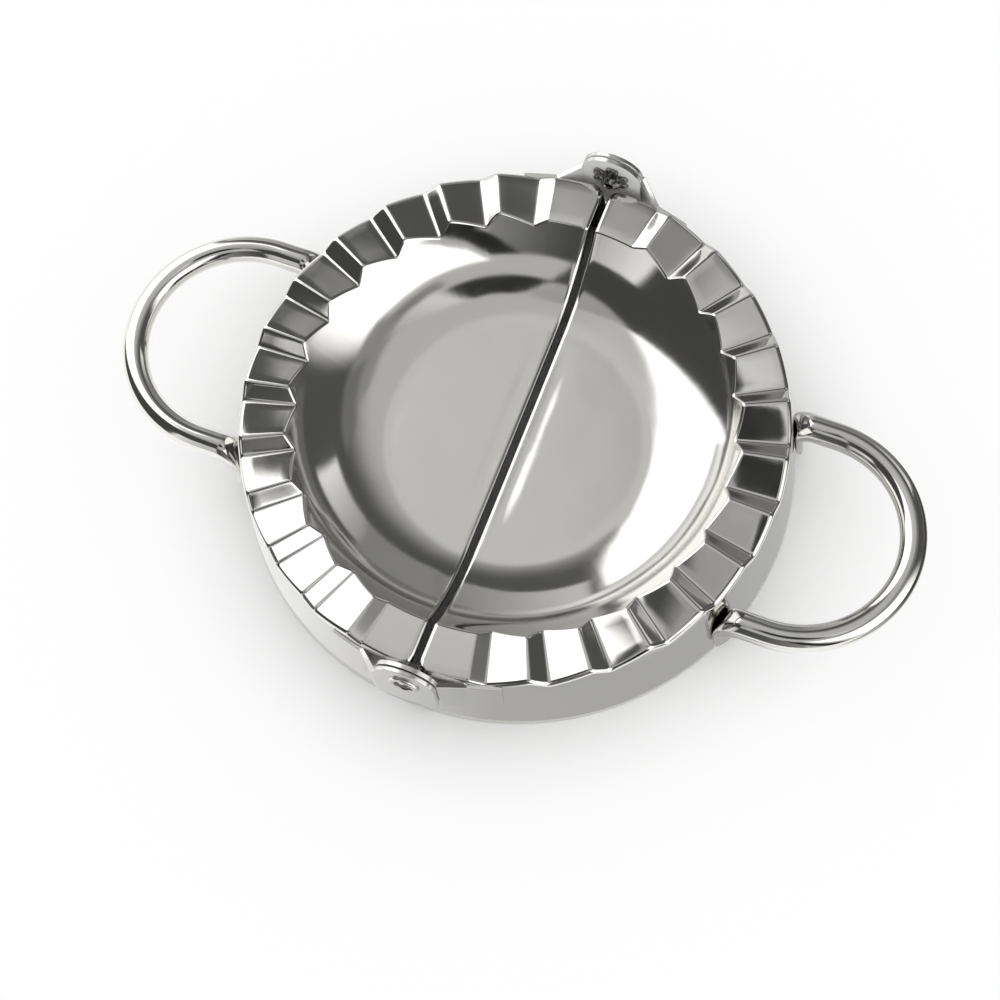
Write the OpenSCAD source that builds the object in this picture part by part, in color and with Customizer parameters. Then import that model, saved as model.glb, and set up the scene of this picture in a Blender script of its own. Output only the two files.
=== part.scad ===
// Folding press for filled dough pockets: two stamped steel moulds, each with its bowl, its
// crimped rim and its cutting skirt in one sheet, welded wire handles, and two riveted hinges.
// The origin is on the table under the middle of the press, +Z is up, the hinge axis runs
// along Y and the handles point along X. Angles round the rim are counted from +Y towards +X.

/* [Mould halves] */
// Height of the rim's mean plane above the cutting edge
rim_h = 19.5; // [18:0.1:22]
// Outside radius of the skirt at the rim's mean plane
skirt_r = 47.9; // [46:0.1:50]
// How much wider the skirt is at its cutting edge than at the rim
skirt_flare = 1.15; // [0.5:0.05:1.5]
// Thickness of the stamped sheet
sheet_t = 0.6; // [0.5:0.05:0.7]
// Gap between the two halves along the parting line
parting_gap = 1.05; // [0.8:0.05:1.4]
// Depth of the bowl's flat floor below the rim's mean plane
bowl_depth = 8.6; // [7.5:0.1:9.5]
// Radius of the bowl's flat floor
bowl_floor_r = 21.7; // [20:0.1:23]
// Radius of the arc that turns the floor up into the bowl's wall
bowl_arc_r = 21.4; // [20.5:0.1:23]
// Radius of the edge that is turned down along the parting line
hem_r = 0.8; // [0.75:0.05:0.85]
// Rounding of the skirt's lower corners at the parting line
corner_r = 1.8; // [1:0.1:3]

/* [Crimped rim] */
// Teeth on each half, with the level panel at each end counted as one
teeth = 14; // [10:1:18]
// Height of a tooth from valley to crest
tooth_h = 1.7; // [1.2:0.1:2]
// Share of the pitch that the steep side of a tooth takes
steep_share = 0.28; // [0.22:0.01:0.36]
// Radius of the bend from the bowl's wall onto the rim
inner_bend_r = 0.9; // [0.9:0.05:1.1]
// Radius of the bend from the rim down into the skirt
outer_bend_r = 1.3; // [1:0.05:1.5]
// Rounding on each side of a crest, along the rim
crest_round = 0.5; // [0.3:0.05:0.7]

/* [Handles] */
// Diameter of the handle wire
wire_d = 5; // [4:0.1:5.5]
// Radius of the handle's loop at the wire's middle
loop_r = 19.2; // [16:0.1:21]
// Distance from the hinge axis to the middle of the loop
loop_x = 53.2; // [52:0.1:60]
// Depth of the handle wire's middle below the rim's mean plane
handle_drop = 7.9; // [7:0.1:9]
// Radius of the bend from the leg down into the foot
foot_bend_r = 3.2; // [3:0.1:4]
// Width of the flattened foot that is welded to the skirt
foot_w = 6; // [5:0.1:7]
// Thickness of the foot
foot_t = 1.5; // [1:0.1:1.8]
// Reach of the foot below the wire's middle
foot_l = 9.2; // [8.5:0.1:10]

/* [Hinge lugs] */
// Height of the hinge axis above the rim's mean plane
axis_rise = 1.3; // [1.1:0.1:2]
// Thickness of a lug's sheet
lug_t = 0.8; // [0.6:0.05:1]
// Radius of the round ear
ear_r = 5.6; // [5.3:0.1:6.6]
// Half the width of the ear's tongue below the rivet
tongue_half_w = 5.1; // [4.6:0.1:5.2]
// Radius of the tongue's free lower corner
tongue_corner_r = 3.5; // [1:0.1:4.5]
// Height of the strip that is spot welded to the skirt
strip_h = 8.2; // [7:0.1:8.8]
// Depth of the strip's top edge below the rim's mean plane
strip_drop = 0.9; // [0.7:0.1:1.4]
// Reach of the strip from the parting line
strip_reach = 15.6; // [13:0.1:19]
// Distance from the parting line at which the strip's shoulder starts to rise
shoulder_x = 9.8; // [9.4:0.1:11]
// Height of the shoulder above the hinge axis where it meets the ear
shoulder_rise = 0.8; // [0.4:0.1:2]
// How far the inner ears stand out from their strips
ear_stand = 0.8; // [0.6:0.05:1]
// Gap between the two ears of one hinge
ear_gap = 0.25; // [0.1:0.05:0.3]

/* [Rivets] */
// Radius of the rivet's shank
shank_r = 1.6; // [1.2:0.05:1.9]
// Radius of the rivet's head
head_r = 2.8; // [2.4:0.05:3.2]
// Thickness of the head
head_t = 0.55; // [0.4:0.05:0.7]
// Radius of the hollow in the head
dimple_r = 1.15; // [0.7:0.05:1.2]
// Depth of the hollow in the head
dimple_depth = 1.3; // [0.8:0.05:1.6]
// Height of the spread petals at the inner end
petal_h = 0.95; // [0.6:0.05:1]
// Petals at the inner end
petals = 6; // [4:1:8]
// Radial clearance of the rivet in the swinging lugs
run_clear = 0.05; // [0.02:0.01:0.08]

/* [Hidden] */

// Overrun of every cut
cut_over = 1;
// How far a faceted skin reaches into the round or flat piece it grows from, and how far inside it stays
lap = 0.5;
ring_inset = 0.012;
// The same for the turned edge, which follows the bowl in flat steps
hem_lap = 0.2;
hem_inset = 0.03;
// Clearance between pieces that are welded, and between the rivet and the lugs it is fast in
weld_gap = 0.02;
fast_clear = 0.01;
// Clearance under the rivet's head and petals
rivet_play = 0.05;
// Clearance between a swinging joggle and the ear inside it
joggle_clear = 0.3;

// The faceted rim sits on this plane, and below it the bowl and the skirt are surfaces of revolution
rim_base_drop = 2.4;
base_z = rim_h - rim_base_drop;
flare_slope = skirt_flare / rim_h;
flare_deg = atan(flare_slope);
skirt_wall = sheet_t / cos(flare_deg);
floor_z = rim_h - bowl_depth;
arc_z = floor_z + bowl_arc_r;
pitch_deg = 180 / teeth;
steep_deg = pitch_deg * steep_share;
crest_deg = atan(crest_round / skirt_r);
axis_z = rim_h + axis_rise;
parting_x = parting_gap / 2;

// Facets: steps along each gentle panel, up the wall, and round each bend
panel_steps = 3;
wall_steps = 1;
bend_steps = 3;
edge_steps = 4;
arc_steps = 16;
hem_steps = 4;

// Outside radius of the skirt, and radius of a bowl surface of arc radius r, at height z
function skirt_at(z) = skirt_r + (rim_h - z) * flare_slope;
function bowl_at(z, r) = bowl_floor_r + sqrt(r * r - pow(arc_z - z, 2));

// Height of the rim over its mean plane. Tooth i has a crest that is rounded by a parabola through its
// neighbours, and its valley stays sharp. The panel at each end of a half is level and cuts the steep
// side next to it at half height. Each entry is [angle, height].
steep_slope = tooth_h / steep_deg;
gentle_slope = tooth_h / (pitch_deg - steep_deg);
function crest_columns(i) =
    let (crest = i * pitch_deg + steep_deg / 2)
    [
        [crest - crest_deg, tooth_h / 2 - steep_slope * crest_deg],
        [crest, tooth_h / 2 - (steep_slope + gentle_slope) * crest_deg / 4],
        [crest + crest_deg, tooth_h / 2 - gentle_slope * crest_deg]
    ];
function panel_columns(i) =
    let (from = i * pitch_deg + steep_deg / 2 + crest_deg, to = (i + 1) * pitch_deg - steep_deg / 2)
    [for (k = [1:panel_steps]) let (a = from + (to - from) * k / panel_steps)
        [a, -tooth_h / 2 + gentle_slope * (to - a)]];
function level_columns(from) = [for (k = [0:panel_steps]) [from + pitch_deg * k / panel_steps, 0]];
columns = concat(
    level_columns(0),
    [for (i = [1:teeth - 2]) each concat(crest_columns(i), panel_columns(i))],
    level_columns(180 - pitch_deg)
);

// Section of the rim where it stands at height z, as [radius, height] points over both bends, on the
// surface that lies depth below the sheet's outer one
function wall_deg(z) = acos((arc_z - z) / bowl_arc_r);
function rim_bends(z, depth) =
    let (
        turn = wall_deg(z),
        inner_c = [bowl_at(z, bowl_arc_r) + inner_bend_r * tan(turn / 2), z - inner_bend_r],
        outer_z = z - outer_bend_r,
        edge_r = skirt_at(outer_z + outer_bend_r * sin(flare_deg)),
        outer_c = [edge_r - outer_bend_r * cos(flare_deg), outer_z]
    )
    concat(
        [for (k = [0:bend_steps]) let (a = turn * (1 - k / bend_steps))
            inner_c + (inner_bend_r - depth) * [-sin(a), cos(a)]],
        [for (k = [0:edge_steps]) let (a = (90 - flare_deg) * k / edge_steps)
            outer_c + (outer_bend_r - depth) * [sin(a), cos(a)]]
    );

// The same with the wall and the skirt below the bends. Both ends reach into the round pieces under
// the base plane and stay just inside them.
function rim_section(z, depth) =
    let (
        inset = (depth == 0 ? 1 : -1) * ring_inset,
        bends = rim_bends(z, depth)
    )
    concat(
        [for (h = [base_z - lap, base_z]) [bowl_at(h, bowl_arc_r + depth) + inset, h]],
        [for (k = [1:wall_steps]) let (h = base_z + (bends[0][1] - base_z) * k / (wall_steps + 1))
            [bowl_at(h, bowl_arc_r + depth), h]],
        bends,
        [for (h = [base_z, base_z - lap]) [skirt_at(h) - depth / cos(flare_deg) - inset, h]]
    );

// Section of the whole half from the middle of the floor to the cutting edge
function half_section(z, depth) =
    concat(
        [for (k = [0:arc_steps - 1]) let (a = wall_deg(z) * k / arc_steps)
            [bowl_floor_r + (bowl_arc_r + depth) * sin(a), arc_z - (bowl_arc_r + depth) * cos(a)]],
        rim_bends(z, depth),
        [[skirt_at(0) - depth / cos(flare_deg), 0]]
    );

// Joins rings of points, each a closed loop of the same count, into one closed skin
function skin_faces(rings, n) = [
    for (k = [0:rings - 2], i = [0:n - 1])
        let (a = k * n + i, b = k * n + (i + 1) % n)
        each [[a, b, b + n], [a, b + n, a + n]]
];

// Closes a convex ring of n points whose first one is numbered first
function end_faces(first, n, turn) = [
    for (i = [1:n - 2]) turn > 0 ? [first, first + i + 1, first + i] : [first, first + i, first + i + 1]
];

// The crimped rim of one half, with its bends, down to the base plane
module crimped_rim() {
    loops = [for (c = columns) let (z = rim_h + c[1], under = rim_section(z, sheet_t), n = len(under))
        concat(rim_section(z, 0), [for (k = [n - 1:-1:0]) under[k]])];
    n = len(loops[0]);
    last = (len(columns) - 1) * n;
    points = [for (k = [0:len(columns) - 1], p = loops[k])
        [p[0] * sin(columns[k][0]), p[0] * cos(columns[k][0]), p[1]]];
    caps = [for (i = [0:n / 2 - 2]) let (j = n - 1 - i, a = last + i, b = last + j)
        each [[i, j, i + 1], [i + 1, j, j - 1], [a, a + 1, b], [a + 1, b - 1, b]]];
    polyhedron(points, concat(skin_faces(len(columns), n), caps));
}

// The bowl below the base plane: flat floor and rising arc
module bowl_profile() {
    translate([0, floor_z - sheet_t])
        square([bowl_floor_r, sheet_t]);
    intersection() {
        translate([bowl_floor_r, arc_z])
            difference() {
                circle(r = bowl_arc_r + sheet_t, $fn = 180);
                circle(r = bowl_arc_r, $fn = 180);
            }
        translate([bowl_floor_r, floor_z - sheet_t])
            square([bowl_arc_r + sheet_t, base_z - floor_z + sheet_t]);
    }
}

// The skirt below the base plane, down to the cutting edge
module skirt_profile() {
    polygon([[skirt_at(0) - skirt_wall, 0], [skirt_at(0), 0], [skirt_at(base_z), base_z],
        [skirt_at(base_z) - skirt_wall, base_z]]);
}

// The edge turned down along the parting line. Each ring crosses it as [distance from the parting,
// depth], out from inside the sheet, round the turn, and back along the sheet's under side.
hem_ring = concat(
    [[hem_r + hem_lap, hem_inset], [hem_r, hem_inset]],
    [for (k = [1:hem_steps]) let (a = 90 * k / hem_steps) hem_r * [1 - sin(a), 1 - cos(a)]],
    [for (k = [hem_steps:-1:1]) let (a = 90 * k / hem_steps)
        hem_r * [1, 1] - (hem_r - sheet_t) * [sin(a), cos(a)]],
    [[hem_r, sheet_t - hem_inset], [hem_r + hem_lap, sheet_t - hem_inset]]
);
module hem() {
    n = len(hem_ring);
    sections = [for (c = hem_ring) half_section(rim_h, c[1])];
    m = len(sections[0]);
    points = concat(
        [for (k = [m - 1:-1:0], j = [0:n - 1]) [hem_ring[j][0], -sections[j][k][0], sections[j][k][1]]],
        [for (k = [0:m - 1], j = [0:n - 1]) [hem_ring[j][0], sections[j][k][0], sections[j][k][1]]]
    );
    last = len(points) - n;
    // the ends are closed from the middle of the ring outwards, because it is bent
    caps = [for (j = [0:n / 2 - 2]) let (k = n - 1 - j, a = last + j, b = last + k)
        each [[j + 1, j, k], [k - 1, j + 1, k], [a, a + 1, b], [a + 1, b - 1, b]]];
    polyhedron(points, concat(skin_faces(2 * m, n), caps));
}

// One half of the press on the +X side, stamped from one sheet
module mould() {
    reach = skirt_at(0) + cut_over;
    translate([parting_x, 0, 0])
        difference() {
            union() {
                difference() {
                    union() {
                        rotate([0, 0, -90])
                            rotate_extrude(angle = 180, $fn = 180) {
                                bowl_profile();
                                skirt_profile();
                            }
                        crimped_rim();
                    }
                    translate([-cut_over, -reach, -cut_over])
                        cube([hem_r + cut_over, 2 * reach, rim_h + tooth_h + 2 * cut_over]);
                }
                hem();
            }
            translate([0, reach, 0])
                rotate([90, 0, 0])
                    linear_extrude(2 * reach)
                        difference() {
                            translate([-cut_over, -cut_over])
                                square([corner_r + cut_over, corner_r + cut_over]);
                            translate([corner_r, corner_r])
                                circle(r = corner_r, $fn = 96);
                        }
        }
}

// Handle on the +X side. Its wire ends are bent down and forged flat into feet.
handle_z = rim_h - handle_drop;
wire_r = wire_d / 2;
foot_mid_z = handle_z - foot_bend_r;
// Each half's skirt is centred on parting_x, and a foot stands where the leg meets it
foot_out = skirt_at(foot_mid_z) + weld_gap + foot_t / 2;
foot_x = parting_x + sqrt(foot_out * foot_out - loop_r * loop_r);
foot_turn = asin(loop_r / foot_out);
foot_tip_share = [0, 0.5, 0.8, 0.95, 1];
foot_tip_l = foot_w / 3;
tip_taper = 0.9;
foot_sides = 16;
foot_bend_steps = 6;
foot_squareness = 3.5;

function mix(a, b, t) = a + (b - a) * t;
function ease(t) = t * t * (3 - 2 * t);
function unit(v) = v / norm(v);

// Rings of the foot: [centre, width direction, thickness direction, half width, half thickness, squareness]
foot_down = unit([sin(flare_deg) * cos(foot_turn), sin(flare_deg) * sin(foot_turn), -cos(flare_deg)]);
foot_side = [-sin(foot_turn), cos(foot_turn), 0];
foot_start = [foot_x, loop_r, foot_mid_z];
foot_straight = foot_l - foot_bend_r;
function bend_ring(t) =
    let (
        a = 90 * t,
        go = unit([-cos(a), 0, -sin(a)] + ease(t) * (foot_down + [0, 0, 1])),
        side = unit(mix([0, 1, 0], foot_side, ease(t))),
        round_r = wire_r - (t == 0 ? ring_inset : 0)
    )
    [foot_start + foot_bend_r * [1 - sin(a), 0, cos(a)], side, cross(side, go),
        mix(round_r, foot_w / 2, ease(t)), mix(round_r, foot_t / 2, ease(t)),
        mix(2, foot_squareness, ease(t))];
function tip_ring(s) =
    [foot_start + foot_down * (foot_straight - foot_tip_l * (1 - s)), foot_side, cross(foot_side, foot_down),
        foot_w / 2 * sqrt(1 - tip_taper * s * s), foot_t / 2, foot_squareness];
foot_rings = concat(
    [bend_ring(0) + [[lap, 0, 0], [0, 0, 0], [0, 0, 0], 0, 0, 0]],
    [for (k = [0:foot_bend_steps]) bend_ring(k / foot_bend_steps)],
    [for (s = foot_tip_share) tip_ring(s)]
);
function bulge(v, n) = sign(v) * pow(abs(v), 2 / n);
function foot_point(ring, a) =
    ring[0] + ring[1] * ring[3] * bulge(cos(a), ring[5]) + ring[2] * ring[4] * bulge(sin(a), ring[5]);

module foot() {
    n = foot_sides;
    last = (len(foot_rings) - 1) * n;
    points = [for (ring = foot_rings, i = [0:n - 1]) foot_point(ring, 360 * i / n)];
    polyhedron(points, concat(skin_faces(len(foot_rings), n), end_faces(0, n, 1), end_faces(last, n, -1)));
}

module handle() {
    leg_x = foot_x + foot_bend_r;
    translate([loop_x, 0, handle_z])
        rotate([0, 0, -90])
            rotate_extrude(angle = 180, $fn = 96)
                translate([loop_r, 0])
                    circle(r = wire_r, $fn = 48);
    for (side = [0, 1])
        mirror([0, side, 0]) {
            translate([loop_x, loop_r, handle_z])
                rotate([0, -90, 0])
                    cylinder(r = wire_r, h = loop_x - leg_x, $fn = 48);
            foot();
        }
}

// Lug with its strip on the -X side of the rear hinge. ear_y is the inner face of its ear, and
// the joggle between strip and ear ends bend_x from the hinge axis.
strip_top = rim_h - strip_drop;
strip_bottom = strip_top - strip_h;
inner_ear_y = skirt_at(strip_bottom) + weld_gap + ear_stand;
outer_ear_y = inner_ear_y + lug_t + ear_gap;
inner_bend_x = tongue_half_w;
outer_bend_x = ear_r + joggle_clear;
lug_low = strip_bottom - cut_over;
lug_high = axis_z + ear_r + cut_over;

// Radius of the strip's face at height z, and where that face stands at distance x from the parting
function strip_r(z, depth) = skirt_at(z) + weld_gap + depth;
function strip_y(x, z, depth) = sqrt(pow(strip_r(z, depth), 2) - pow(x - parting_x, 2));

module lug_strip() {
    difference() {
        translate([-parting_x, 0, 0])
            rotate([0, 0, 90])
                rotate_extrude(angle = 90, $fn = 360)
                    polygon([for (c = [[lug_low, 0], [lug_low, lug_t], [lug_high, lug_t], [lug_high, 0]])
                        [strip_r(c[0], c[1]), c[0]]]);
        translate([-shoulder_x, 0, lug_low - cut_over])
            cube([shoulder_x + cut_over, outer_ear_y + lug_t, lug_high - lug_low + 2 * cut_over]);
    }
}

// The joggle is a skin that runs from inside the ear to inside the strip
function joggle_ring(x, low, high) = [
    [x, low[0] + ring_inset, lug_low], [x, low[1] - ring_inset, lug_low],
    [x, high[1] - ring_inset, lug_high], [x, high[0] + ring_inset, lug_high]
];
function strip_faces(x, z) = [for (d = [0, lug_t]) strip_y(x, z, d)];
function strip_ring(x) = joggle_ring(-x, strip_faces(x, lug_low), strip_faces(x, lug_high));

module lug_joggle(ear_y, bend_x) {
    ear = [ear_y, ear_y + lug_t];
    points = concat(
        joggle_ring(lap - bend_x, ear, ear),
        joggle_ring(-bend_x, ear, ear),
        strip_ring(shoulder_x),
        strip_ring(shoulder_x + lap)
    );
    n = 4;
    last = len(points) - n;
    polyhedron(points, concat(skin_faces(len(points) / n, n), end_faces(0, n, 1), end_faces(last, n, -1)));
}

module lug_outline() {
    translate([0, axis_z])
        circle(r = ear_r, $fn = 120);
    polygon([[-strip_reach, strip_bottom], [tongue_half_w - tongue_corner_r, strip_bottom],
        [tongue_half_w, strip_bottom + tongue_corner_r], [tongue_half_w, axis_z], [0, axis_z],
        [-tongue_half_w, axis_z + shoulder_rise], [-shoulder_x, strip_top], [-strip_reach, strip_top]]);
    translate([tongue_half_w - tongue_corner_r, strip_bottom + tongue_corner_r])
        circle(r = tongue_corner_r, $fn = 96);
}

module lug(ear_y, bend_x, bore_r) {
    difference() {
        intersection() {
            union() {
                lug_strip();
                lug_joggle(ear_y, bend_x);
                translate([-bend_x, ear_y, lug_low])
                    cube([bend_x + ear_r + cut_over, lug_t, lug_high - lug_low]);
            }
            translate([0, outer_ear_y + lug_t + cut_over, 0])
                rotate([90, 0, 0])
                    linear_extrude(outer_ear_y + lug_t + cut_over)
                        lug_outline();
        }
        translate([0, ear_y - cut_over, axis_z])
            rotate([-90, 0, 0])
                cylinder(r = bore_r, h = lug_t + 2 * cut_over, $fn = 64);
    }
}

// Rear rivet: head outside, shank through both ears, and star of petals inside
petal_r = head_r / 3;
module rivet() {
    head_y = outer_ear_y + lug_t + rivet_play;
    petal_y = inner_ear_y - rivet_play;
    translate([0, 0, axis_z])
        rotate([-90, 0, 0]) {
            difference() {
                union() {
                    translate([0, 0, petal_y])
                        cylinder(r = shank_r, h = head_y - petal_y, $fn = 64);
                    translate([0, 0, head_y])
                        rotate_extrude($fn = 64)
                            intersection() {
                                square([head_r, head_t]);
                                union() {
                                    square([head_r - head_t, head_t]);
                                    translate([head_r - head_t, 0])
                                        circle(r = head_t, $fn = 64);
                                }
                            }
                }
                translate([0, 0, head_y + head_t - dimple_depth])
                    cylinder(r = dimple_r, h = dimple_depth + cut_over, $fn = 64);
            }
            intersection() {
                translate([0, 0, petal_y - petal_h])
                    union() {
                        cylinder(r = shank_r, h = petal_h, $fn = 64);
                        for (i = [0:petals - 1])
                            rotate([0, 0, 360 / petals * i])
                                translate([head_r - petal_r, 0, 0])
                                    cylinder(r = petal_r, h = petal_h, $fn = 32);
                    }
                dome_r = (head_r * head_r + petal_h * petal_h) / (2 * petal_h);
                translate([0, 0, petal_y - petal_h + dome_r])
                    sphere(r = dome_r, $fn = 128);
            }
        }
}

module left_mould() { color("#c9c9c8") rotate([0, 0, 180]) mould(); }
module right_mould() { color("#d2d2d0") mould(); }
module left_handle() { color("#b4b3b2") rotate([0, 0, 180]) handle(); }
module right_handle() { color("#b9b8b6") handle(); }
module rear_left_lug() { color("#bcbcbc") lug(inner_ear_y, inner_bend_x, shank_r + fast_clear); }
module rear_right_lug() {
    color("#a8a8aa")
        mirror([1, 0, 0])
            lug(outer_ear_y, outer_bend_x, shank_r + run_clear);
}
module front_left_lug() {
    color("#a8a8aa")
        mirror([0, 1, 0])
            lug(outer_ear_y, outer_bend_x, shank_r + fast_clear);
}
module front_right_lug() {
    color("#bcbcbc")
        rotate([0, 0, 180])
            lug(inner_ear_y, inner_bend_x, shank_r + run_clear);
}
module rear_rivet() { color("#8f8f90") rivet(); }
module front_rivet() { color("#8f8f90") rotate([0, 0, 180]) rivet(); }

left_mould();
right_mould();
left_handle();
right_handle();
rear_left_lug();
rear_right_lug();
front_left_lug();
front_right_lug();
rear_rivet();
front_rivet();
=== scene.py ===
"""Looks of the folding press for filled dough pockets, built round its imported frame.

Two stamped steel moulds, their wire handles and their riveted hinges are modelled in millimetres,
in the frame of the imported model, and turned into metres when each piece is finished. Angles round
the rim are counted from +Y towards +X, as in the part's source.
"""

import logging
from dataclasses import dataclass, field
from enum import Enum
from math import acos, asin, atan, atan2, copysign, cos, degrees, exp, hypot, pi, radians
from math import sin, sqrt, tan
from typing import Callable

import bmesh
import bpy
import numpy
from bmesh.types import BMEdge, BMesh, BMVert
from bpy.types import Material, Node, NodeSocket, NodeTree, Object, World
from mathutils import Euler, Matrix, Vector

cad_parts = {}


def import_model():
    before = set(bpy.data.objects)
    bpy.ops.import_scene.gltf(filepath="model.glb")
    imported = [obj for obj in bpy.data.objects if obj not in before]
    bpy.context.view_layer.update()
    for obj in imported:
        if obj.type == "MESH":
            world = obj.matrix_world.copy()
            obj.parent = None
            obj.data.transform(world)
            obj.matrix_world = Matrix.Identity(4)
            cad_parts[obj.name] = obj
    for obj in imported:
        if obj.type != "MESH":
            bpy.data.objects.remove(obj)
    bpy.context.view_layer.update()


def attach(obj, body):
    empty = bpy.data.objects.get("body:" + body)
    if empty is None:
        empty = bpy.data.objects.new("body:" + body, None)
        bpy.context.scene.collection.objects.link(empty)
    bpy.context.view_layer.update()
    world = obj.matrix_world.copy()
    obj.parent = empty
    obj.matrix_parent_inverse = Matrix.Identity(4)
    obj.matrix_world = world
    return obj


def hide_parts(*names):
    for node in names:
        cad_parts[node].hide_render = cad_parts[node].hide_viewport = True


LOG = logging.getLogger("press")
MM = 0.001
WHITE = (1, 1, 1, 1)
X_AXIS, Y_AXIS, Z_AXIS = (1, 0, 0), (0, 1, 0), (0, 0, 1)
# points nearer to each other than SAME, in millimetres, count as one, and TINY counts as nothing
SAME, TINY = 1e-4, 1e-6
# how the sharp edges of cut sheet are rounded
EDGE_SEGMENTS = 2
EDGE_ANGLE = radians(50)

Pair = tuple[float, float]
Triple = tuple[float, float, float]


class Side(Enum):
    """The half of the press that a piece belongs to."""

    LEFT = "left"
    RIGHT = "right"

    @property
    def turn(self) -> float:
        """Turn about the vertical axis that brings a piece made on the +X side to this side."""
        return pi if self is Side.LEFT else 0.0

    @property
    def body(self) -> str:
        """Name of the body of this half."""
        return f"{self.value}_half"


class End(Enum):
    """The hinge that a lug or a rivet belongs to."""

    REAR = "rear"
    FRONT = "front"

    @property
    def turn(self) -> float:
        """Turn about the vertical axis that brings a piece made at the rear to this hinge."""
        return pi if self is End.FRONT else 0.0


def smooth(share: float) -> float:
    """Eases a share between 0 and 1, so that it starts and ends gently."""
    return share * share * (3 - 2 * share)


def linear(code: str) -> tuple[float, float, float, float]:
    """Turns an sRGB colour into the linear one that the shaders take.

    Args:
        code: The colour as a hex string such as "#c8c8c8".

    Returns:
        Red, green, blue and an alpha of 1.
    """
    parts = [int(code[i : i + 2], 16) / 255 for i in (1, 3, 5)]
    r, g, b = (c / 12.92 if c <= 0.04045 else ((c + 0.055) / 1.055) ** 2.4 for c in parts)
    return (r, g, b, 1.0)


def add_node(
    tree: NodeTree, kind: str, *feeds: NodeSocket, settings: dict | None = None, **values
) -> Node:
    """Adds a shader node with its settings and links.

    Args:
        tree: The node tree that gets the node.
        kind: The node's type name, without its ShaderNode prefix.
        *feeds: Sockets that feed the node's inputs, in the order of the inputs.
        settings: Properties of the node itself, by name.
        **values: Plain values or feeding sockets, by the input's name with _ for each space.

    Returns:
        The node.
    """
    node = tree.nodes.new("ShaderNode" + kind)
    for key, value in (settings or {}).items():
        setattr(node, key, value)
    named = [(key.replace("_", " "), value) for key, value in values.items()]
    for key, value in [*enumerate(feeds), *named]:
        if isinstance(value, NodeSocket):
            tree.links.new(value, node.inputs[key])
        else:
            node.inputs[key].default_value = value
    return node


def empty_tree(owner: Material | World) -> NodeTree:
    """Gives a material or a world an empty node tree.

    Args:
        owner: The material or world.

    Returns:
        The node tree.
    """
    owner.use_nodes = True
    owner.node_tree.nodes.clear()
    return owner.node_tree


@dataclass(frozen=True)
class PolishedSteel:
    """Bright stainless sheet or wire, cold formed and then polished with a cloth wheel.

    The eye gets a mirror with a slight haze, a soft waviness from forming, and hairlines from
    wiping. A name that ends in mm is a pattern's real size.
    """

    name: str
    tone: str = "#dcdbd8"
    metal: float = 1.0
    roughness: float = 0.07
    haze: float = 0.05
    haze_mm: float = 5.0
    haze_range: Pair = (0.3, 0.75)
    wave_mm: float = 9.0
    wave_depth: float = 0.05
    # real hairlines are too fine to show, so they are drawn a third of a millimetre apart
    hairline_mm: float = 0.35
    hairline_depth: float = 0.003
    hairline_strength: float = 0.4
    hairline_stretch: Triple = (1.0, 0.08, 1.0)

    def build(self) -> Material:
        """Makes the material.

        Returns:
            The finished material.
        """
        mat = bpy.data.materials.new(self.name)
        tree = empty_tree(mat)
        place = add_node(tree, "TexCoord").outputs["Object"]
        size = 1 / (self.haze_mm * MM)
        haze = add_node(tree, "TexNoise", place, Scale=size, Detail=6.0, Roughness=0.6)
        rough = add_node(
            tree,
            "MapRange",
            haze.outputs["Fac"],
            From_Min=self.haze_range[0],
            From_Max=self.haze_range[1],
            To_Min=self.roughness,
            To_Max=self.roughness + self.haze,
        )
        wave = add_node(tree, "TexNoise", place, Scale=1 / (self.wave_mm * MM), Detail=1.0)
        drawn = add_node(tree, "Mapping", place, Scale=self.hairline_stretch).outputs["Vector"]
        hair = add_node(tree, "TexNoise", drawn, Scale=1 / (self.hairline_mm * MM), Detail=2.0)
        waves = add_node(
            tree, "Bump", Height=wave.outputs["Fac"], Strength=1.0, Distance=self.wave_depth * MM
        )
        hairs = add_node(
            tree,
            "Bump",
            Height=hair.outputs["Fac"],
            Normal=waves.outputs["Normal"],
            Strength=self.hairline_strength,
            Distance=self.hairline_depth * MM,
        )
        shader = add_node(
            tree,
            "BsdfPrincipled",
            Roughness=rough.outputs["Result"],
            Normal=hairs.outputs["Normal"],
            Base_Color=linear(self.tone),
            Metallic=self.metal,
        )
        add_node(tree, "OutputMaterial", shader.outputs["BSDF"])
        return mat


def link_mesh(bm: BMesh, name: str) -> Object:
    """Turns a bmesh into an object of the scene.

    Args:
        bm: The shape, in metres, which is used up.
        name: The object's name.

    Returns:
        The object.
    """
    mesh = bpy.data.meshes.new(name)
    for face in bm.faces:
        face.smooth = True
    bm.to_mesh(mesh)
    bm.free()
    piece = bpy.data.objects.new(name, mesh)
    bpy.context.scene.collection.objects.link(piece)
    return piece


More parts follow.
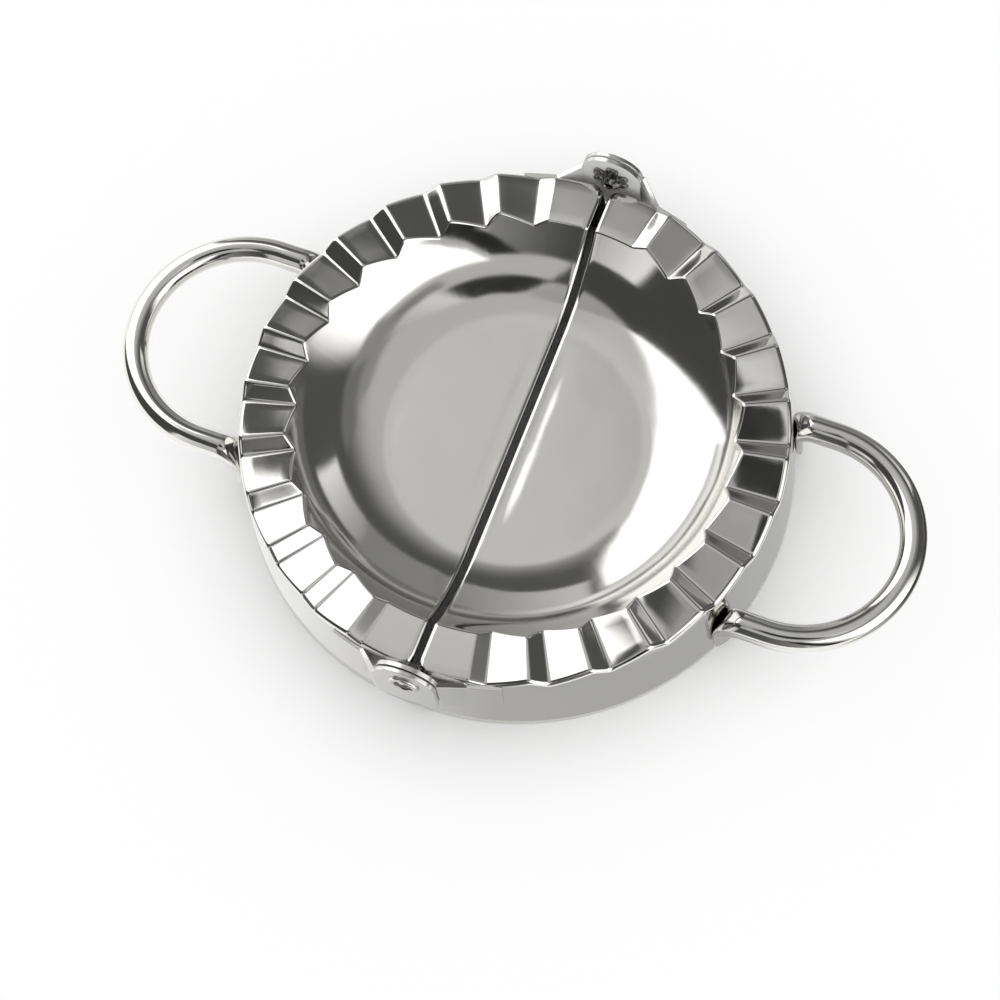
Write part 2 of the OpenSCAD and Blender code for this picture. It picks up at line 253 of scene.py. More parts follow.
def finish_piece(
    bm: BMesh,
    node: str,
    form: str,
    material: Material,
    body: str,
    slot: str,
    wall: float = 0.0,
    edge: float = 0.0,
    crisp: bool = False,
    back: Material | None = None,
    back_rim: bool = True,
) -> Object:
    """Turns a bmesh in millimetres into a piece of the press that stands for a CAD node.

    Args:
        bm: The shape, which is used up.
        node: The CAD node that the piece replaces.
        form: What ends the piece's name.
        material: Its finish.
        body: The body it rides on.
        slot: The record's material slot of its finish; not used.
        wall: Thickness to give the shape, inwards, in millimetres.
        edge: Width of the rounding of sharp edges, in millimetres.
        crisp: Keeps flat faces flat beside rounded edges.
        back: Second finish, on the wall's inner side where there is a wall.
        back_rim: Whether the wall's cut edge has that finish too.

    Returns:
        The piece.
    """
    bmesh.ops.scale(bm, vec=(MM, MM, MM), verts=bm.verts)
    piece = link_mesh(bm, f"{node}_{form}")
    for finish in (material, back):
        if finish:
            piece.data.materials.append(finish)
    if wall:
        shell = piece.modifiers.new("sheet", "SOLIDIFY")
        shell.thickness = wall * MM
        shell.offset = -1
        shell.use_even_offset = True
        if back:
            shell.material_offset = 1
            shell.material_offset_rim = int(back_rim)
    if edge:
        rounding = piece.modifiers.new("edges", "BEVEL")
        rounding.width = edge * MM
        rounding.segments = EDGE_SEGMENTS
        rounding.limit_method = "ANGLE"
        rounding.angle_limit = EDGE_ANGLE
        rounding.harden_normals = crisp
    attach(piece, body)
    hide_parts(node)
    LOG.info("%s: %d faces", piece.name, len(piece.data.polygons))
    return piece


class Pen:
    """Draws a line of edges in a bmesh, from point to point."""

    def __init__(self, bm: BMesh, start: Triple) -> None:
        """Sets the pen down at the line's first point."""
        self.bm = bm
        self.first = self.vert = bm.verts.new(start)

    def line(self, to: Triple, steps: int = 1) -> None:
        """Draws a straight line by extruding the last point.

        Args:
            to: Where the line ends.
            steps: Edges along it.
        """
        start = self.vert.co.copy()
        for k in range(1, steps + 1):
            made = bmesh.ops.extrude_vert_indiv(self.bm, verts=[self.vert])
            self.vert = made["verts"][0]
            self.vert.co = start.lerp(Vector(to), k / steps)

    def arc(self, centre: Triple, axis: Triple, angle: float, steps: int) -> None:
        """Draws an arc by spinning the last point.

        Args:
            centre: Middle of the arc.
            axis: Axis of the arc.
            angle: Its angle, in radians.
            steps: Edges along it.
        """
        made = bmesh.ops.spin(
            self.bm,
            geom=[self.vert],
            cent=centre,
            axis=axis,
            angle=angle,
            steps=steps,
        )
        self.vert = [g for g in made["geom_last"] if isinstance(g, BMVert)][0]


def sweep(bm: BMesh, centre: Triple, angle: float, steps: int, merge: bool = False) -> None:
    """Spins what is drawn so far about an upright axis into a skin, closed where merge is set."""
    bmesh.ops.spin(
        bm,
        geom=bm.verts[:] + bm.edges[:],
        cent=centre,
        axis=Z_AXIS,
        angle=angle,
        steps=steps,
        use_merge=merge,
    )


def rotate(bm: BMesh, verts: list[BMVert], angle: float, axis: str) -> None:
    """Turns points about the named axis through the origin, by an angle in radians."""
    bmesh.ops.rotate(bm, verts=verts, cent=(0, 0, 0), matrix=Matrix.Rotation(angle, 3, axis))


def cut(bm: BMesh, place: Triple, normal: Triple, clear: bool = False) -> None:
    """Cuts a shape with a plane, and takes off what lies behind it where clear is set."""
    geom = bm.verts[:] + bm.edges[:] + bm.faces[:]
    bmesh.ops.bisect_plane(bm, geom=geom, plane_co=place, plane_no=normal, clear_inner=clear)


def extrude_row(bm: BMesh, edges: list[BMEdge]) -> tuple[dict[BMVert, BMVert], list[BMEdge]]:
    """Extrudes open edges by one row of faces, whose new points are then moved.

    Args:
        bm: The bmesh.
        edges: The open edges.

    Returns:
        For each new point the one it was drawn from, and the new open edges.
    """
    olds = {v for e in edges for v in e.verts}
    made = bmesh.ops.extrude_edge_only(bm, edges=edges)["geom"]
    source = {}
    for vert in (g for g in made if isinstance(g, BMVert)):
        source[vert] = next(v for e in vert.link_edges for v in e.verts if v in olds)
    row = [g for g in made if isinstance(g, BMEdge) and all(v in source for v in g.verts)]
    return source, row


@dataclass
class Mould:
    """One stamped half: flat-bottomed bowl, crimped rim, turned parting edge and cutting skirt."""

    rim_h: float = 19.5
    skirt_r: float = 47.9
    skirt_flare: float = 1.15
    sheet_t: float = 0.6
    edge_lift: float = 0.04
    parting_gap: float = 1.05
    bowl_depth: float = 8.6
    bowl_floor_r: float = 21.7
    bowl_arc_r: float = 21.4
    hem_r: float = 0.8
    hem_rows: int = 6
    # cuts beside the turned edge, in its radii from the parting
    hem_cuts: Pair = (4.0, 2.2)
    corner_r: float = 1.8
    teeth: int = 14
    tooth_h: float = 2.1
    steep_share: float = 0.29
    inner_bend_r: float = 0.9
    outer_bend_r: float = 1.0
    crest_round: float = 0.6
    valley_round: float = 0.55
    end_round: float = 0.35
    end_spread: float = 0.9
    end_corner_r: float = 2.0
    end_corner_fade: Pair = (1.5, 7.0)
    rim_base_drop: float = 2.4
    edge_round: float = 0.1
    # rows of faces along the floor, the wall, its bend, the rim, its bend, the skirt and its foot
    rows: tuple[int, ...] = (26, 26, 8, 5, 8, 5, 4)
    bend_columns: int = 6
    face_columns: int = 5
    # middle, width and depth of the shallow groove beside each half's turned edge
    edge_groove: dict[str, Triple] = field(
        default_factory=lambda: {"left": (2.4, 1.4, 0.05), "right": (1.9, 1.7, 0.16)}
    )
    # how far along the parting that groove reaches, as a share of the floor, and how it ends there
    groove_reach: float = 0.78
    groove_power: int = 6

    @property
    def arc_z(self) -> float:
        """Height of the middle of the arc that turns the floor up into the wall."""
        return self.rim_h - self.bowl_depth + self.bowl_arc_r

    @property
    def rim_turn(self) -> float:
        """Angle between the bowl's wall and the rim where they meet."""
        return acos((self.arc_z - self.rim_h) / self.bowl_arc_r)

    @property
    def slope(self) -> float:
        """How much the skirt's radius grows for each millimetre down."""
        return self.skirt_flare / self.rim_h

    @property
    def pitch(self) -> float:
        """Angle from one tooth to the next."""
        return pi / self.teeth

    @property
    def steep(self) -> float:
        """Angle that the steep side of a tooth takes."""
        return self.pitch * self.steep_share

    def skirt_at(self, z: float) -> float:
        """Outside radius of the skirt at height z."""
        return self.skirt_r + (self.rim_h - z) * self.slope

    def bowl_at(self, z: float) -> float:
        """Radius of the bowl's wall at height z."""
        return self.bowl_floor_r + sqrt(self.bowl_arc_r**2 - (self.arc_z - z) ** 2)

    def section(self, bm: BMesh) -> None:
        """Draws the half's section over +Y, from the middle of the floor to the cutting edge.

        Args:
            bm: The empty bmesh that gets it.
        """
        z = self.rim_h
        floor_z = z - self.bowl_depth
        turn = self.rim_turn
        flare = atan(self.slope)
        inner_r = self.bowl_at(z) + self.inner_bend_r * tan(turn / 2)
        inner = Vector((0, inner_r, z - self.inner_bend_r))
        start_r = inner.y - self.inner_bend_r * sin(turn)
        rise = asin((start_r - self.bowl_floor_r) / self.bowl_arc_r)
        low = z - self.outer_bend_r
        edge_r = self.skirt_at(low + self.outer_bend_r * sin(flare))
        outer = Vector((0, edge_r - self.outer_bend_r * cos(flare), low))
        pen = Pen(bm, (0, 0, floor_z))
        pen.line((0, self.bowl_floor_r, floor_z), self.rows[0])
        pen.arc((0, self.bowl_floor_r, self.arc_z), X_AXIS, rise, self.rows[1])
        pen.arc(inner, X_AXIS, -turn, self.rows[2])
        pen.line((0, outer.y, z), self.rows[3])
        pen.arc(outer, X_AXIS, flare - pi / 2, self.rows[4])
        pen.line((0, self.skirt_at(self.corner_r), self.corner_r), self.rows[5])
        # the flared sheet's inner side stands on the floor, and its outer edge just over it
        pen.line((0, self.skirt_at(self.edge_lift), self.edge_lift), self.rows[6])

    def knots(self) -> list[Triple]:
        """Lays out the rim's corners: level end panels, with teeth between them.

        Returns:
            For each corner its angle, its height over the mean plane, and its rounding's angle.
        """
        half, top = self.steep / 2, self.tooth_h / 2
        crest, valley = self.crest_round / self.skirt_r, self.valley_round / self.skirt_r
        end, spread = self.end_round / self.skirt_r, self.end_spread * half
        knots = [(0.0, 0.0, 0.0), (self.pitch - spread, 0.0, end)]
        for i in range(1, self.teeth - 1):
            first, last = i == 1, i == self.teeth - 2
            knots.append((i * self.pitch + half, top, end if first else crest))
            knots.append(((i + 1) * self.pitch - half, -top, end if last else valley))
        return knots + [(pi - self.pitch + spread, 0.0, end), (pi, 0.0, 0.0)]

    def columns(self) -> list[float]:
        """Places the sheet's columns, close together at each crest and valley.

        Returns:
            The angle of each column, from the rear parting edge to the front one.
        """
        stops = []
        for angle, _, width in self.knots()[1:-1]:
            stops += [angle - width, angle + width]
        marks = [0.0] + stops + [pi]
        columns = []
        for i, (low, high) in enumerate(zip(marks, marks[1:])):
            steps = self.bend_columns if i % 2 else self.face_columns
            columns += [low + (high - low) * k / steps for k in range(steps)]
        return columns + [pi]

    def lift(self, angle: float) -> float:
        """Height of the rim over its mean plane.

        Args:
            angle: Angle round the rim from the rear parting edge.

        Returns:
            The height, with rounded crests and valleys.
        """
        knots = self.knots()
        slopes = [(b[1] - a[1]) / (b[0] - a[0]) for a, b in zip(knots, knots[1:])]
        i = next((k for k, b in enumerate(knots[1:]) if angle <= b[0]), len(slopes) - 1)
        height = knots[i][1] + slopes[i] * (angle - knots[i][0])
        for k in (i, i + 1):
            near = knots[k][2] - abs(angle - knots[k][0])
            if near > 0:
                height += (slopes[k] - slopes[k - 1]) * near * near / (4 * knots[k][2])
        return height

    def crimped(self, r: float, z: float, lift: float) -> Pair:
        """Moves a point of the mean section to where the rim stands lift higher.

        Args:
            r: The point's radius.
            z: Its height.
            lift: Height of the rim over its mean plane there.

        Returns:
            The new radius and height.
        """
        base = self.rim_h - self.rim_base_drop
        turn = self.rim_turn
        wall_z = self.rim_h - self.inner_bend_r * (1 - cos(turn))
        wall_r = self.bowl_at(wall_z)
        shoulder_r = self.skirt_r - self.outer_bend_r
        shoulder_z = self.rim_h - self.outer_bend_r
        if z <= base:
            return r, z
        inward = self.bowl_at(wall_z + lift) - wall_r
        outward = -self.slope * lift
        if r <= wall_r:
            share = min((z - base) / (wall_z - base), 1.0)
            new_z = z + lift * share
            return r + self.bowl_at(new_z) - self.bowl_at(z), new_z
        if r >= shoulder_r:
            share = min((z - base) / (shoulder_z - base), 1.0)
            return r + outward * share, z + lift * share
        flat_from = wall_r + self.inner_bend_r * sin(turn)
        share = min(max((r - flat_from) / (shoulder_r - flat_from), 0.0), 1.0)
        return r + inward + (outward - inward) * share, z + lift

    def turn_edge(self, bm: BMesh) -> None:
        """Cuts the sheet at the parting edge and turns its edge down through a quarter turn.

        Args:
            bm: The sheet, with the parting plane at x = 0.
        """
        for reach in self.hem_cuts:
            cut(bm, (reach * self.hem_r, 0, 0), X_AXIS)
        cut(bm, (self.hem_r, 0, 0), X_AXIS, clear=True)
        bm.normal_update()
        rim = [e for e in bm.edges if e.is_boundary]
        rim = [e for e in rim if all(abs(v.co.x - self.hem_r) < SAME for v in e.verts)]
        start = {}
        for vert in {v for e in rim for v in e.verts}:
            outward = Vector((0, vert.normal.y, vert.normal.z)).normalized()
            start[vert] = (vert.co.copy(), outward)
        for k in range(1, self.hem_rows + 1):
            angle = pi / 2 * k / self.hem_rows
            back = Vector((sin(angle), 0, 0))
            source, rim = extrude_row(bm, rim)
            start = {vert: start[old] for vert, old in source.items()}
            for vert, (place, outward) in start.items():
                vert.co = place - self.hem_r * (back + outward * (1 - cos(angle)))

    def sink_edge(self, bm: BMesh, side: Side) -> None:
        """Draws the bowl's floor in along the parting edge, where turning the edge has pulled it.

        Args:
            bm: The sheet.
            side: Which half it becomes.
        """
        middle, width, depth = self.edge_groove[side.value]
        reach = self.groove_reach * self.bowl_floor_r
        for vert in bm.verts:
            r = hypot(vert.co.x, vert.co.y)
            if r < self.bowl_floor_r + self.hem_r:
                fade = exp(-((r / reach) ** self.groove_power))
                vert.co.z -= depth * fade * exp(-(((vert.co.x - middle) / width) ** 2))

    def ease_ends(self, bm: BMesh) -> None:
        """Rounds the four upper corners, seen from above, where the turned edge meets the skirt.

        Args:
            bm: The sheet, with its turned edge reaching x = 0.
        """
        c = self.end_corner_r
        top, low = (self.rim_h - depth for depth in self.end_corner_fade)
        for vert in bm.verts:
            x, y, z = vert.co
            middle = self.skirt_at(min(z, self.rim_h)) - c
            r = hypot(x, y)
            if z < low or x > c or r < middle:
                continue
            across, out = c - x, r - middle
            reach = hypot(across, out)
            if reach < TINY:
                continue
            share = smooth(min((z - low) / (top - low), 1.0))
            pull = 1 - (1 - max(across, out) / reach) * share
            new_x, new_r = c - across * pull, middle + out * pull
            vert.co.x, vert.co.y = new_x, copysign(sqrt(new_r**2 - new_x**2), y)

    def round_corners(self, bm: BMesh) -> None:
        """Rounds the skirt's lower corners at the parting edge by lifting the points near them."""
        c = self.corner_r
        for vert in bm.verts:
            x, z = vert.co.x, vert.co.z
            if z < c and x < c:
                lowest = c - sqrt(max(c * c - (c - max(x, 0.0)) ** 2, 0.0))
                vert.co.z = lowest + z * (1 - lowest / c)

    def build(self, side: Side, material: Material, back: Material) -> Object:
        """Builds one half.

        Args:
            side: Which half.
            material: Its finish.
            back: Finish of its under side, whose dark tone is painted shade.

        Returns:
            The piece.
        """
        bm = bmesh.new()
        self.section(bm)
        columns = self.columns()
        steps = len(columns) - 1
        sweep(bm, (0, 0, 0), -pi, steps)
        for vert in bm.verts:
            r = hypot(vert.co.x, vert.co.y)
            if r < TINY:
                continue
            k = round(atan2(vert.co.x, vert.co.y) % (2 * pi) / pi * steps)
            # an angle a hair under zero comes out as a full turn
            angle = columns[0 if k > 1.5 * steps else k]
            r, z = self.crimped(r, vert.co.z, self.lift(angle))
            vert.co = (r * sin(angle), r * cos(angle), z)
        bmesh.ops.remove_doubles(bm, verts=bm.verts, dist=SAME)
        bmesh.ops.recalc_face_normals(bm, faces=bm.faces)
        top = max(bm.faces, key=lambda f: f.calc_center_median().z)
        if top.normal.z < 0:
            bmesh.ops.reverse_faces(bm, faces=bm.faces)
        self.sink_edge(bm, side)
        self.turn_edge(bm)
        self.ease_ends(bm)
        self.round_corners(bm)
        bmesh.ops.translate(bm, verts=bm.verts, vec=(self.parting_gap / 2, 0, 0))
        rotate(bm, bm.verts, side.turn, "Z")
        piece = (f"{side.value}_mould", "sheet", material, side.body, "mould_steel")
        return finish_piece(bm, *piece, wall=self.sheet_t, edge=self.edge_round, back=back)


@dataclass
class Handle:
    """Wire loop whose two ends are bent down and forged flat into feet on the skirt."""

    mould: Mould
    wire_d: float = 5.0
    loop_r: float = 19.2
    loop_x: float = 53.2
    drop: float = 7.9
    bend_r: float = 3.2
    foot_w: float = 6.0
    foot_t: float = 1.5
    foot_l: float = 9.2
    weld_gap: float = 0.02
    round_steps: int = 40
    loop_steps: int = 90
    bend_rows: int = 14
    # how square the foot's section is, against 2 for a round one
    foot_square: float = 3.5
    # the foot's rounded tip: its length, its rings, how narrow it gets and how thin it ends
    tip_l: float = 2.0
    tip_rings: tuple[float, ...] = (0.0, 0.3, 0.55, 0.75, 0.88, 0.96, 1.0)
    tip_taper: float = 0.9
    tip_thin: float = 0.75

    def foot_frame(self) -> tuple[Vector, Vector, Vector]:
        """Finds where the feet stand.

        Returns:
            Middle of the foot at the end of the bend, the way down it, and its width direction.
        """
        m = self.mould
        mid_z = m.rim_h - self.drop - self.bend_r
        out = m.skirt_at(mid_z) + self.weld_gap + self.foot_t / 2
        x = m.parting_gap / 2 + sqrt(out * out - self.loop_r**2)
        turn = asin(self.loop_r / out)
        flare = atan(m.slope)
        down = Vector((sin(flare), 0, -cos(flare)))
        down.rotate(Matrix.Rotation(turn, 3, "Z"))
        return Vector((x, self.loop_r, mid_z)), down, Vector((-sin(turn), cos(turn), 0))

    def rings(self) -> list[tuple[Vector, Vector, Vector, float, float, float]]:
        """Lays out the rings of a foot, from the bend's start to its rounded tip.

        Returns:
            For each ring its middle, width and thickness directions, half sizes and squareness.
        """
        start, down, side = self.foot_frame()
        wire = self.wire_d / 2
        rings = []
        for k in range(self.bend_rows + 1):
            t = k / self.bend_rows
            a, e = pi / 2 * t, smooth(t)
            fall = e * (down + Vector(Z_AXIS))
            go = (Vector((-cos(a), 0, -sin(a))) + fall).normalized()
            wide = Vector(Y_AXIS).lerp(side, e).normalized()
            middle = start + self.bend_r * Vector((1 - sin(a), 0, cos(a)))
            half_w = wire + (self.foot_w / 2 - wire) * e
            half_t = wire + (self.foot_t / 2 - wire) * e
            square = 2 + (self.foot_square - 2) * e
            rings.append((middle, wide, wide.cross(go), half_w, half_t, square))
        straight = self.foot_l - self.bend_r
        for s in self.tip_rings:
            middle = start + down * (straight - self.tip_l * (1 - s))
            half_w = self.foot_w / 2 * sqrt(1 - self.tip_taper * s * s)
            half_t = self.foot_t / 2 * (1.0 if s < 1 else self.tip_thin)
            rings.append((middle, side, side.cross(down), half_w, half_t, self.foot_square))
        return rings

    def forge_foot(self, bm: BMesh, loop: list[BMEdge], mirror: int) -> None:
        """Extrudes a wire end down into its foot, ring by ring, and closes the tip.

        Args:
            bm: The wire.
            loop: The open edges at its end.
            mirror: 1 for the foot at +Y and -1 for the other.
        """
        centre_z = self.mould.rim_h - self.drop
        angles = {}
        for vert in {v for e in loop for v in e.verts}:
            out = mirror * vert.co.y - self.loop_r
            angles[vert] = atan2(vert.co.z - centre_z, out)
        for middle, wide, thick, half_w, half_t, square in self.rings():
            source, loop = extrude_row(bm, loop)
            angles = {vert: angles[old] for vert, old in source.items()}
            for vert, a in angles.items():
                c, s = cos(a), -sin(a)
                u = copysign(abs(c) ** (2 / square), c) * half_w
                v = copysign(abs(s) ** (2 / square), s) * half_t
                place = middle + wide * u - thick * v
                vert.co = (place.x, mirror * place.y, place.z)
        bmesh.ops.contextual_create(bm, geom=loop)

    def build(self, side: Side, material: Material) -> Object:
        """Builds the handle of one half.

        Args:
            side: Which half.
            material: Its finish.

        Returns:
            The piece.
        """
        bm = bmesh.new()
        z = self.mould.rim_h - self.drop
        bmesh.ops.create_circle(bm, radius=self.wire_d / 2, segments=self.round_steps)
        rotate(bm, bm.verts, pi / 2, "Y")
        bmesh.ops.translate(bm, verts=bm.verts, vec=(self.loop_x, self.loop_r, z))
        sweep(bm, (self.loop_x, 0, 0), -pi, self.loop_steps)
        ends = [e for e in bm.edges if e.is_boundary]
        for mirror in (1, -1):
            loop = [e for e in ends if all(mirror * v.co.y > 0 for v in e.verts)]
            self.forge_foot(bm, loop, mirror)
        bmesh.ops.recalc_face_normals(bm, faces=bm.faces)
        rotate(bm, bm.verts, side.turn, "Z")
        piece = (f"{side.value}_handle", "wire", material, side.body, "wire_steel")
        return finish_piece(bm, *piece)


@dataclass
class Lug:
    """Stamped lug: a strip that hugs the skirt, a joggle, and a round ear that takes the rivet."""

    mould: Mould
    axis_rise: float = 1.3
    lug_t: float = 0.8
    ear_r: float = 5.6
    tongue_half_w: float = 5.5
    tongue_corner_r: float = 3.5
    strip_h: float = 8.2
    strip_drop: float = 0.9
    strip_reach: float = 15.6
    shoulder_x: float = 9.8
    shoulder_rise: float = 0.8
    ear_stand: float = 0.8
    ear_gap: float = 0.25
    joggle_clear: float = 0.3
    weld_gap: float = 0.02
    bore_r: float = 1.63
    edge_round: float = 0.14
    # edges round the tongue's corner, the ear and the bore
    corner_steps: int = 12
    ear_steps: int = 44
    bore_steps: int = 40
    # cuts across the lug: how far beside each end of the joggle, and how far apart on the strip
    joggle_cut: float = 0.3
    strip_cut: float = 0.6
    strip_cuts: int = 8
    # turns smaller than this, in radians, are no corner
    straight: float = 0.01

    @property
    def axis_z(self) -> float:
        """Height of the hinge axis."""
        return self.mould.rim_h + self.axis_rise

    @property
    def strip_top(self) -> float:
        """Height of the strip's upper edge."""
        return self.mould.rim_h - self.strip_drop

    @property
    def inner_y(self) -> float:
        """Distance of the inner ear's near face from the middle of the press."""
        return self.mould.skirt_at(self.strip_top - self.strip_h) + self.weld_gap + self.ear_stand

    @property
    def outer_y(self) -> float:
        """The same for the outer ear."""
        return self.inner_y + self.lug_t + self.ear_gap

    def outline(self, bm: BMesh) -> None:
        """Draws the lug's outline with its bore in the XZ plane, with the strip on the -X side.

        Args:
            bm: The empty bmesh that gets it.
        """
        top, low, z = self.strip_top, self.strip_top - self.strip_h, self.axis_z
        half, corner, r = self.tongue_half_w, self.tongue_corner_r, self.ear_r
        pen = Pen(bm, (-self.strip_reach, 0, low))
        pen.line((half - corner, 0, low))
        pen.arc((half - corner, 0, low + corner), Y_AXIS, -pi / 2, self.corner_steps)
        leave = -asin(sqrt(r**2 - half**2) / r)
        pen.line((r * cos(leave), 0, z + r * sin(leave)))
        # the shoulder runs from beside the rivet to the strip's top, across the ear's circle
        run = Vector((half - self.shoulder_x, 0, top - z - self.shoulder_rise))
        start = Vector((-half, 0, self.shoulder_rise))
        a, b, c = run.length_squared, 2 * start.dot(run), start.length_squared - r**2
        meet = start + run * ((-b + sqrt(b * b - 4 * a * c)) / (2 * a))
        reach = atan2(meet.z, meet.x) - leave
        pen.arc((0, 0, z), Y_AXIS, -reach, self.ear_steps)
        pen.line((-self.shoulder_x, 0, top))
        pen.line((-self.strip_reach, 0, top))
        bm.edges.new((pen.vert, pen.first))
        bore = bmesh.ops.create_circle(bm, radius=self.bore_r, segments=self.bore_steps)["verts"]
        rotate(bm, bore, pi / 2, "X")
        bmesh.ops.translate(bm, verts=bore, vec=(0, 0, z))

    def face_y(self, x: float, z: float, ear_y: float, bend_x: float) -> float:
        """Finds how far out the lug's outer face stands.

        Args:
            x: Place along the lug, with the ear at zero and the strip on the minus side.
            z: Height.
            ear_y: Near face of the ear.
            bend_x: Distance of the joggle's start from the hinge axis.

        Returns:
            Distance of the outer face from the middle of the press.
        """
        m = self.mould
        radius = m.skirt_at(z) + self.weld_gap + self.lug_t

        def strip(at: float) -> float:
            """Outer face of the strip at a place along it."""
            return sqrt(radius**2 - (at - m.parting_gap / 2) ** 2)

        ear = ear_y + self.lug_t
        if x >= -bend_x:
            return ear
        if x <= -self.shoulder_x:
            return strip(x)
        t = (x + bend_x) / (bend_x - self.shoulder_x)
        return ear + (strip(-self.shoulder_x) - ear) * t

    def build(self, end: End, side: Side, material: Material, back: Material) -> Object:
        """Builds one lug.

        Args:
            end: Which hinge.
            side: Which half it is welded to.
            material: Its finish outside and on its edges.
            back: Its finish inside.

        Returns:
            The piece.
        """
        inner = (end is End.REAR) == (side is Side.LEFT)
        ear_y = self.inner_y if inner else self.outer_y
        bend_x = self.tongue_half_w if inner else self.ear_r + self.joggle_clear
        bm = bmesh.new()
        self.outline(bm)
        bmesh.ops.triangle_fill(bm, use_beauty=True, edges=bm.edges[:])
        limit = self.straight
        bmesh.ops.dissolve_limit(bm, angle_limit=limit, verts=bm.verts[:], edges=bm.edges[:])
        cuts = [-bend_x, -self.shoulder_x]
        cuts += [x + beside for x in cuts for beside in (self.joggle_cut, -self.joggle_cut)]
        cuts += [self.strip_cut * k - self.strip_reach for k in range(1, self.strip_cuts + 1)]
        for x in cuts:
            cut(bm, (x, 0, 0), X_AXIS)
        for vert in bm.verts:
            vert.co.y = self.face_y(vert.co.x, vert.co.z, ear_y, bend_x)
        bmesh.ops.recalc_face_normals(bm, faces=bm.faces)
        if sum(f.normal.y for f in bm.faces) < 0:
            bmesh.ops.reverse_faces(bm, faces=bm.faces)
        # made for the inner ear at the rear, mirrored for an outer one, and turned to the front
        if not inner:
            bmesh.ops.scale(bm, vec=(-1, 1, 1), verts=bm.verts)
            bmesh.ops.reverse_faces(bm, faces=bm.faces)
        rotate(bm, bm.verts, end.turn, "Z")
        piece = (f"{end.value}_{side.value}_lug", "plate", material, side.body, "lug_steel")
        edges = {"edge": self.edge_round, "crisp": True, "back_rim": False}
        return finish_piece(bm, *piece, wall=self.lug_t, back=back, **edges)


